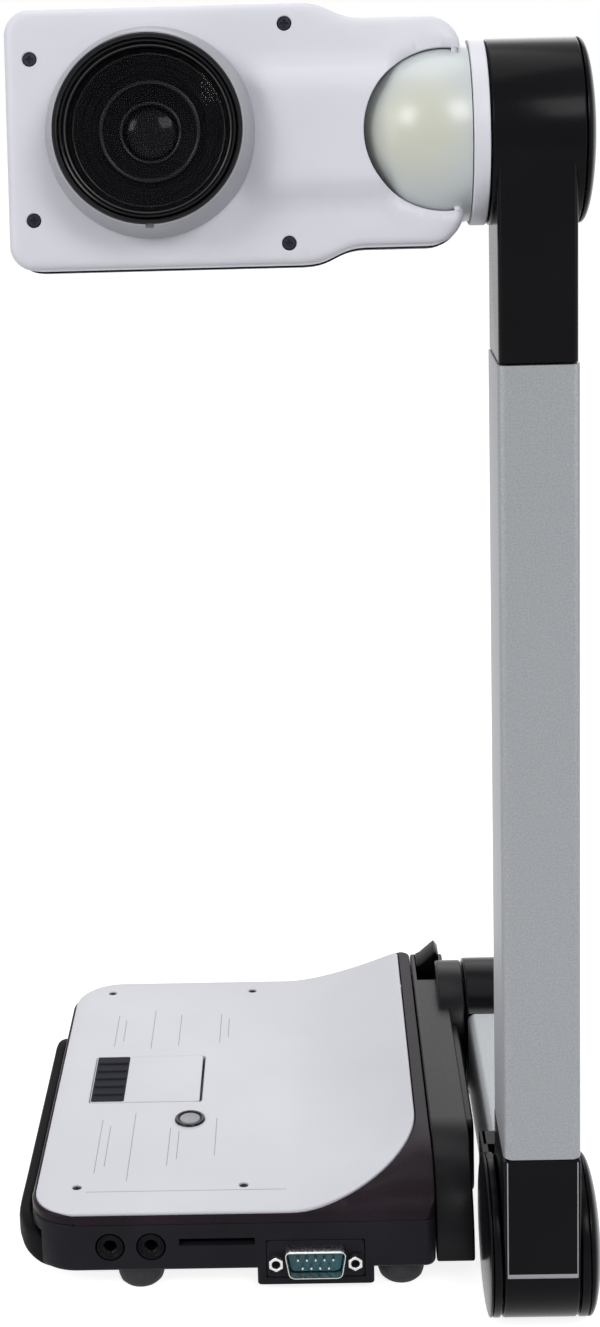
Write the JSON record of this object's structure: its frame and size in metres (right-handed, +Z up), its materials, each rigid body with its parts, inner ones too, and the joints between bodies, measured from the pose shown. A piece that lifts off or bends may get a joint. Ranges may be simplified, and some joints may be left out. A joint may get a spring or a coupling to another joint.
{
  "type": "document camera",
  "caption": "Table-top document camera: flat base with a wave-shaped deck, folding two-piece aluminium arm and a tilting camera head with lamp.",
  "frame": {"origin": "centre of the bounding box footprint, on the floor under the feet", "axes": "+Z up, the ports and the lens face -Y, the arm is on the +X side"},
  "size_m": [0.1838, 0.2008, 0.4027],
  "materials": {
    "black_case": "satin",
    "plum_rim": "satin",
    "white_shell": "satin",
    "gloss_black": "gloss",
    "teal_insert": "satin",
    "board": "satin",
    "steel": "brushed",
    "nickel": "polished",
    "soft_black": "matte",
    "button_grey": "satin",
    "aluminium": "satin anodised",
    "lens_glass": "polished",
    "frosted": "frosted",
    "lamp_yellow": "satin",
    "foot_rubber": "matte",
    "slate_screw": "satin"
  },
  "bodies": {
    "base": {"lower_case": "black_case", "rim_frame": "plum_rim", "deck": "white_shell", "button_ring": "gloss_black", "setting_switches": "teal_insert", "main_board": "board", "ballast_plate": "steel", "button_switch": "black_case", "audio_jack_left": "gloss_black", "audio_jack_right": "gloss_black", "card_socket": "steel", "serial_shell": "nickel", "serial_insert": "teal_insert", "serial_pins": "nickel", "jackscrew_left": "nickel", "jackscrew_right": "nickel", "power_inlet": "gloss_black", "arm_housing": "black_case", "shoulder_pin": "steel", "foot_near_left": "foot_rubber", "foot_near_right": "foot_rubber", "foot_far_left": "foot_rubber", "foot_far_right": "foot_rubber", "deck_screw_near_left": "steel", "deck_screw_near_right": "steel", "deck_screw_far_left": "steel", "deck_screw_far_right": "steel"},
    "lid": {"deck_lid": "white_shell", "lid_grip": "soft_black", "lid_hinge_bar": "black_case"},
    "button": {"power_button": "button_grey"},
    "handle": {"carrying_handle": "soft_black"},
    "latch": {"arm_latch": "black_case"},
    "lower_arm": {"lower_tube": "aluminium", "shoulder_knuckle": "gloss_black", "shoulder_cap": "gloss_black", "elbow_fork": "gloss_black", "elbow_cap_left": "gloss_black", "elbow_cap_right": "gloss_black", "elbow_pin": "steel"},
    "upper_arm": {"elbow_knuckle": "gloss_black", "upper_tube": "aluminium", "top_cap": "gloss_black", "barrel_cap": "gloss_black", "head_pin": "steel"},
    "head": {"head_front_cover": "white_shell", "head_back_cover": "black_case", "neck_collar": "white_shell", "lens_hood": "gloss_black", "front_glass": "lens_glass", "lens_inner_ring": "gloss_black", "lens_cell": "black_case", "sensor_board": "board", "lamp_dome": "frosted", "lamp_board": "lamp_yellow", "head_screw_top_left": "slate_screw", "head_screw_bottom_left": "slate_screw", "head_screw_top_right": "slate_screw", "head_screw_bottom_right": "slate_screw"},
    "focus_ring": {"lens_ring": "white_shell"}
  },
  "joints": [
    {"name": "shoulder_lift", "type": "hinge", "parent": "base", "child": "lower_arm", "pos_m": [0.07195, 0.06904, 0.0244], "axis": [-1, 0, 0], "range_deg": [0, 90]},
    {"name": "elbow_fold", "type": "hinge", "parent": "lower_arm", "child": "upper_arm", "pos_m": [0.07255, -0.06946, 0.0244], "axis": [1, 0, 0], "range_deg": [-30, 110]},
    {"name": "head_tilt", "type": "hinge", "parent": "upper_arm", "child": "head", "pos_m": [0.05745, -0.06726, 0.365], "axis": [1, 0, 0], "range_deg": [-60, 100]},
    {"name": "focus_turn", "type": "hinge", "parent": "head", "child": "focus_ring", "pos_m": [-0.03335, -0.0968, 0.37036], "axis": [0, -0.9903, 0.1392], "range_deg": [-45, 45]},
    {"name": "lid_open", "type": "hinge", "parent": "base", "child": "lid", "pos_m": [-0.0359, 0.02389, 0.0274], "axis": [0, 1, 0], "range_deg": [0, 95]},
    {"name": "power_press", "type": "slide", "parent": "base", "child": "button", "axis": [0, 0, -1], "range_m": [0, 0.001], "stiffness_N_per_m": 400},
    {"name": "handle_pull", "type": "slide", "parent": "base", "child": "handle", "axis": [-1, 0, 0], "range_m": [0, 0.016]},
    {"name": "latch_slide", "type": "slide", "parent": "base", "child": "latch", "axis": [0, -1, 0], "range_m": [0, 0.008]}
  ]
}
